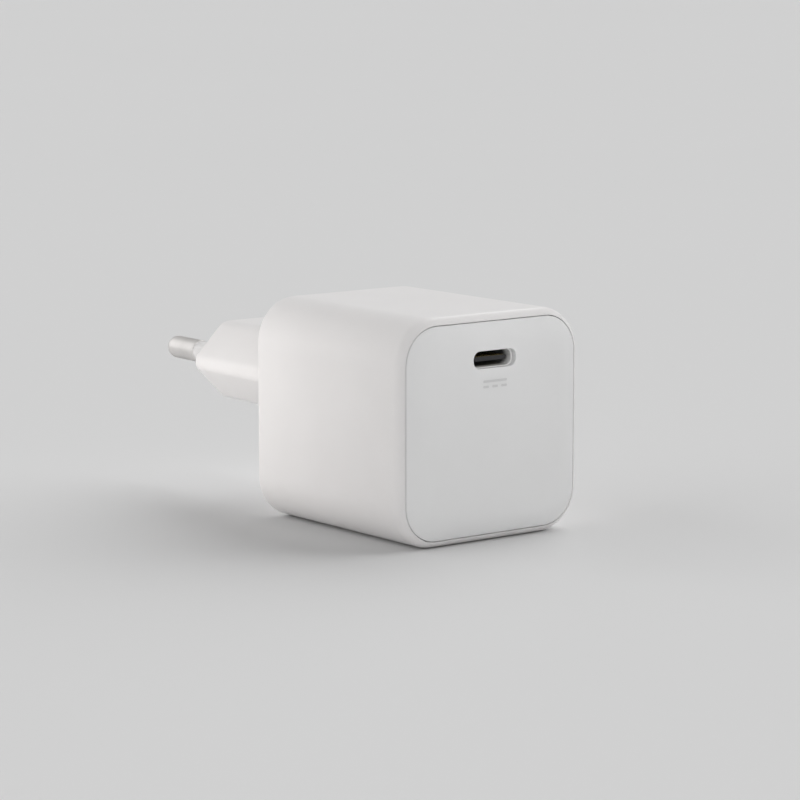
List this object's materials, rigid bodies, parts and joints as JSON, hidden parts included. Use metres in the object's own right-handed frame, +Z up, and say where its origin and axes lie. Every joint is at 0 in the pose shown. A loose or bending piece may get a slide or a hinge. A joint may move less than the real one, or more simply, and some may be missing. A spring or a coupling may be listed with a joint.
{
  "type": "usb-c power adapter",
  "caption": "Rounded cube mains power adapter with a round-pin plug nose on its back and a slim oval power port in a softly crowned front panel.",
  "frame": {"origin": "on the flat base, below the middle of the housing's cube", "axes": "+Z up, port towards -Y, plug pins towards +Y, +X to the right when facing the port"},
  "size_m": [0.0382, 0.0813, 0.038],
  "materials": {
    "housing_plastic": "smooth satin white moulding",
    "panel_plastic": "fine matt white moulding",
    "pin_metal": "nickel-plated brass, lightly brushed",
    "sleeve_plastic": "white insulating sleeve",
    "contact_copper": "spring copper strip",
    "port_steel": "drawn steel shell",
    "port_plastic": "black moulded insulator",
    "contact_gold": "gold-plated contact",
    "board_laminate": "green solder resist",
    "bulk_sleeve": "shrink-sleeved can",
    "output_can": "bare aluminium can",
    "inductor_sleeve": "shrink sleeve",
    "film_case": "yellow moulded case",
    "ceramic_coat": "blue dipped coat",
    "fuse_case": "moulded case",
    "ferrite": "sintered ferrite",
    "bobbin_plastic": "moulded former",
    "winding_tape": "taped winding",
    "enamel_wire": "enamelled copper wire",
    "chip_resin": "moulded chip",
    "chip_ceramic": "ceramic block",
    "soft_pad": "soft silicone pad",
    "spreader_metal": "rolled sheet"
  },
  "bodies": {
    "root": {"bridge_rectifier": "chip_resin", "bulk_capacitor_back": "bulk_sleeve", "bulk_capacitor_front": "bulk_sleeve", "chip_capacitors": "chip_ceramic", "choke_core": "ferrite", "choke_winding_left": "enamel_wire", "choke_winding_right": "enamel_wire", "contact_strip_left": "contact_copper", "contact_strip_right": "contact_copper", "filter_capacitor": "film_case", "filter_inductor": "inductor_sleeve", "front_panel": "panel_plastic", "fuse": "fuse_case", "heat_spreader": "spreader_metal", "housing_shell": "housing_plastic", "main_board": "board_laminate", "optocoupler": "chip_resin", "output_capacitor_left": "output_can", "output_capacitor_right": "output_can", "pin_sleeve_left": "sleeve_plastic", "pin_sleeve_right": "sleeve_plastic", "plug_pin_left": "pin_metal", "plug_pin_right": "pin_metal", "port_contacts": "contact_gold", "port_controller": "chip_resin", "port_insulator": "port_plastic", "port_shell": "port_steel", "power_switch": "chip_resin", "safety_capacitor": "ceramic_coat", "sync_rectifier": "chip_resin", "thermal_pad": "soft_pad", "transformer_bobbin": "bobbin_plastic", "transformer_core_lower": "ferrite", "transformer_core_upper": "ferrite", "transformer_primary": "winding_tape", "transformer_secondary": "winding_tape"}
  },
  "joints": []
}
